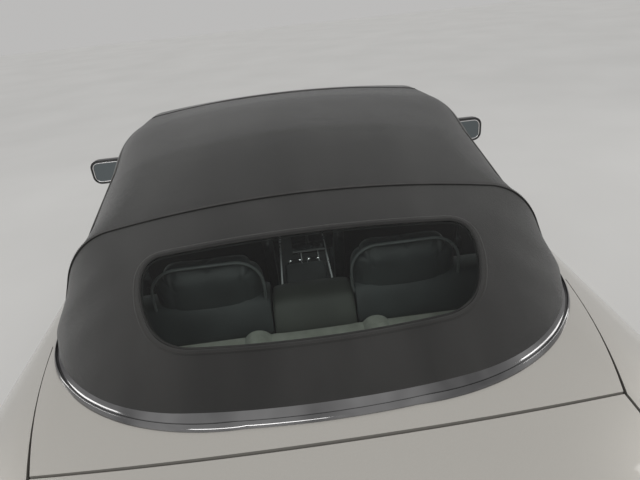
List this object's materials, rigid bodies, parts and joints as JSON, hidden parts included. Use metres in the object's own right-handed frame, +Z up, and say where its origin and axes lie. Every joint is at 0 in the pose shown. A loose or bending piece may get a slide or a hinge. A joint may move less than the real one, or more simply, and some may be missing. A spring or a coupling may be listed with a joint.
{
  "type": "soft-top convertible car",
  "caption": "Two-door four-seat grand touring convertible with raised fabric roof, opening doors, bonnet and boot, and steered wheels.",
  "frame": {"origin": "on the ground under the centre of the car's bounding box", "axes": "+X towards the nose, +Y to the car's left, +Z up"},
  "size_m": [4.8069, 2.1956, 1.398],
  "materials": {
    "paint": "metallic lacquer",
    "underbody": "satin black",
    "lamp_clear": "clear",
    "lamp_red": "gloss",
    "chrome": "polished",
    "roof_fabric": "woven",
    "glass": "tinted",
    "dark_trim": "gloss black",
    "chassis": "cast",
    "exhaust_steel": "brushed",
    "engine_alloy": "cast",
    "cabin_dark": "soft touch",
    "leather": "grained",
    "shelf_cloth": "short pile",
    "tyre": "matte",
    "alloy": "silver lacquer"
  },
  "bodies": {
    "root": {"floor_tub": "underbody", "headlamps": "lamp_clear", "tail_lamps": "lamp_red", "front_bumper": "paint", "rear_bumper": "paint", "tonneau_panel": "paint", "hood_trim": "chrome", "soft_top": "roof_fabric", "rear_glass": "glass", "windscreen_frame": "dark_trim", "windscreen": "glass", "quarter_glass": "glass", "grille": "chrome", "front_subframe": "chassis", "rear_subframe": "chassis", "exhaust": "exhaust_steel", "engine": "engine_alloy", "dashboard": "cabin_dark", "front_seat_left": "leather", "front_seat_right": "leather", "rear_seat": "leather", "rear_shelf": "shelf_cloth", "front_wing_left": "paint", "body_side_left": "paint", "front_wing_right": "paint", "body_side_right": "paint"},
    "door_left": {"door_left": "paint", "door_glass_left": "glass", "mirror_left": "dark_trim"},
    "door_right": {"door_right": "paint", "door_glass_right": "glass", "mirror_right": "dark_trim"},
    "bonnet": {"bonnet": "paint"},
    "boot_lid": {"boot_lid": "paint"},
    "steering_wheel": {"steering_wheel": "cabin_dark"},
    "knuckle_left": {"front_knuckle_left": "chassis"},
    "knuckle_right": {"front_knuckle_right": "chassis"},
    "wheel_front_left": {"tyre_front_left": "tyre", "rim_front_left": "alloy"},
    "wheel_front_right": {"tyre_front_right": "tyre", "rim_front_right": "alloy"},
    "wheel_rear_left": {"tyre_rear_left": "tyre", "rim_rear_left": "alloy"},
    "wheel_rear_right": {"tyre_rear_right": "tyre", "rim_rear_right": "alloy"}
  },
  "joints": [
    {"name": "door_left_hinge", "type": "hinge", "parent": "root", "child": "door_left", "pos_m": [0.858, 0.906, 0.57], "axis": [0, 0, -1], "range_deg": [0, 65]},
    {"name": "door_right_hinge", "type": "hinge", "parent": "root", "child": "door_right", "pos_m": [0.858, -0.906, 0.57], "axis": [0, 0, 1], "range_deg": [0, 65]},
    {"name": "bonnet_hinge", "type": "hinge", "parent": "root", "child": "bonnet", "pos_m": [0.925, 0, 0.926], "axis": [0, -1, 0], "range_deg": [0, 50]},
    {"name": "boot_lid_hinge", "type": "hinge", "parent": "root", "child": "boot_lid", "pos_m": [-1.8, 0, 0.95], "axis": [0, 1, 0], "range_deg": [0, 75]},
    {"name": "steer_left", "type": "hinge", "parent": "root", "child": "knuckle_left", "pos_m": [1.5, 0.7815, 0.3515], "axis": [0, 0, 1], "range_deg": [-35, 35]},
    {"name": "steer_right", "type": "hinge", "parent": "root", "child": "knuckle_right", "pos_m": [1.5, -0.7815, 0.3515], "axis": [0, 0, 1], "range_deg": [-35, 35]},
    {"name": "steering_wheel_turn", "type": "hinge", "parent": "root", "child": "steering_wheel", "pos_m": [0.395, 0.382, 0.84], "axis": [-0.9272, 0, 0.3746], "range_deg": [-460, 460]},
    {"name": "wheel_front_left_spin", "type": "hinge", "parent": "knuckle_left", "child": "wheel_front_left", "pos_m": [1.5, 0.8115, 0.3515], "axis": [0, 1, 0], "continuous": true},
    {"name": "wheel_front_right_spin", "type": "hinge", "parent": "knuckle_right", "child": "wheel_front_right", "pos_m": [1.5, -0.8115, 0.3515], "axis": [0, 1, 0], "continuous": true},
    {"name": "wheel_rear_left_spin", "type": "hinge", "parent": "root", "child": "wheel_rear_left", "pos_m": [-1.245, 0.8035, 0.3515], "axis": [0, 1, 0], "continuous": true},
    {"name": "wheel_rear_right_spin", "type": "hinge", "parent": "root", "child": "wheel_rear_right", "pos_m": [-1.245, -0.8035, 0.3515], "axis": [0, 1, 0], "continuous": true}
  ],
  "couplings": [
    {"joint": "steer_right", "follows": "steer_left", "ratio": 1},
    {"joint": "steering_wheel_turn", "follows": "steer_left", "ratio": 13}
  ]
}
